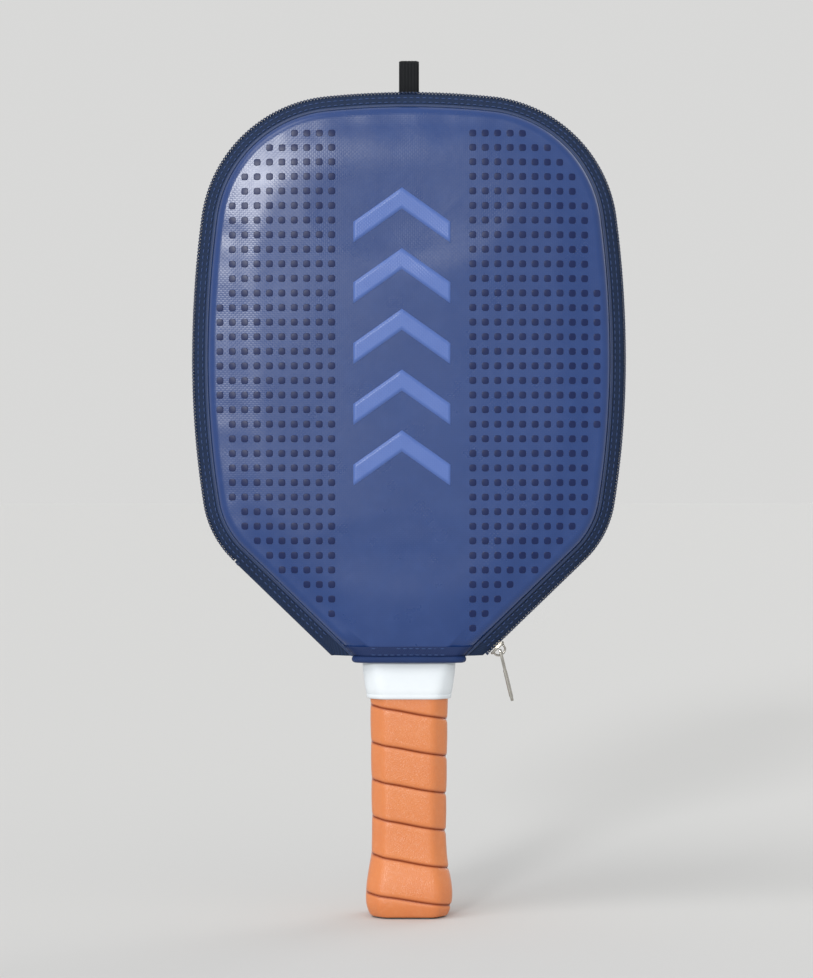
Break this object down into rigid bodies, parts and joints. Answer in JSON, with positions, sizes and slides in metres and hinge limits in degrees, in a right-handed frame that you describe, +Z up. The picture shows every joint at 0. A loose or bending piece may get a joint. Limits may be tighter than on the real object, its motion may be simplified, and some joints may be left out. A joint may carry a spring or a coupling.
{
  "type": "pickleball paddle",
  "caption": "Pickleball paddle with an octagonal wrapped grip, inside a padded zip-up head cover that hangs by a webbing loop.",
  "frame": {"origin": "centre of the flat end of the grip's butt, at its lowest level", "axes": "+Z up the handle towards the hanging loop, -Y out of the cover's front panel, +X to the front's right, where the zipper's slider rests"},
  "size_m": [0.2172, 0.0358, 0.4275],
  "materials": {
    "cover_fabric": "matte coated",
    "piping": "satin",
    "zipper_tape": "matte woven",
    "zipper_coil": "satin",
    "foam": "matte foam",
    "lining": "matte knit",
    "zip_metal": "polished nickel",
    "webbing": "matte woven",
    "core": "matte",
    "face_sheet": "textured carbon",
    "edge_guard": "satin",
    "pallet": "raw",
    "butt_cap": "matte",
    "grip_wrap": "satin grained",
    "collar": "matte"
  },
  "bodies": {
    "paddle_in_back_shell": {"cover_back_panel": "cover_fabric", "back_piping": "piping", "back_zipper_tape": "zipper_tape", "back_zipper_coil": "zipper_coil", "back_foam_pad": "foam", "back_lining": "lining", "back_mouth_hem": "piping", "face_sheet_back": "face_sheet", "handle_pallet_back": "pallet", "face_sheet_front": "face_sheet", "handle_pallet_front": "pallet", "hinge_fold": "zipper_tape", "zipper_bottom_stop": "zip_metal", "zipper_top_stop": "zip_metal", "hanging_loop": "webbing", "honeycomb_core": "core", "edge_guard": "edge_guard", "handle_tang": "core", "butt_cap": "butt_cap", "butt_disc": "butt_cap", "grip_cushion": "foam", "grip_wrap": "grip_wrap", "grip_collar": "collar"},
    "front_shell": {"cover_front_panel": "cover_fabric", "front_piping": "piping", "front_zipper_tape": "zipper_tape", "front_zipper_coil": "zipper_coil", "front_foam_pad": "foam", "front_lining": "lining", "front_mouth_hem": "piping"},
    "zipper_slider": {"slider_body": "zip_metal", "slider_bridge": "zip_metal"},
    "zipper_pull": {"pull_tab": "zip_metal"}
  },
  "joints": [
    {"name": "cover_opening", "type": "hinge", "parent": "paddle_in_back_shell", "child": "front_shell", "pos_m": [-0.03911, 0, 0.1295], "axis": [0.7193, 0, -0.6947], "range_deg": [0, 140]},
    {"name": "zipper_slide", "type": "slide", "parent": "paddle_in_back_shell", "child": "zipper_slider", "axis": [0.7193, 0, 0.6947], "range_m": [0, 0.052]},
    {"name": "pull_swing", "type": "hinge", "parent": "zipper_slider", "child": "zipper_pull", "pos_m": [0.04562, 0, 0.13168], "axis": [0, -1, 0], "range_deg": [-38, 100]}
  ]
}
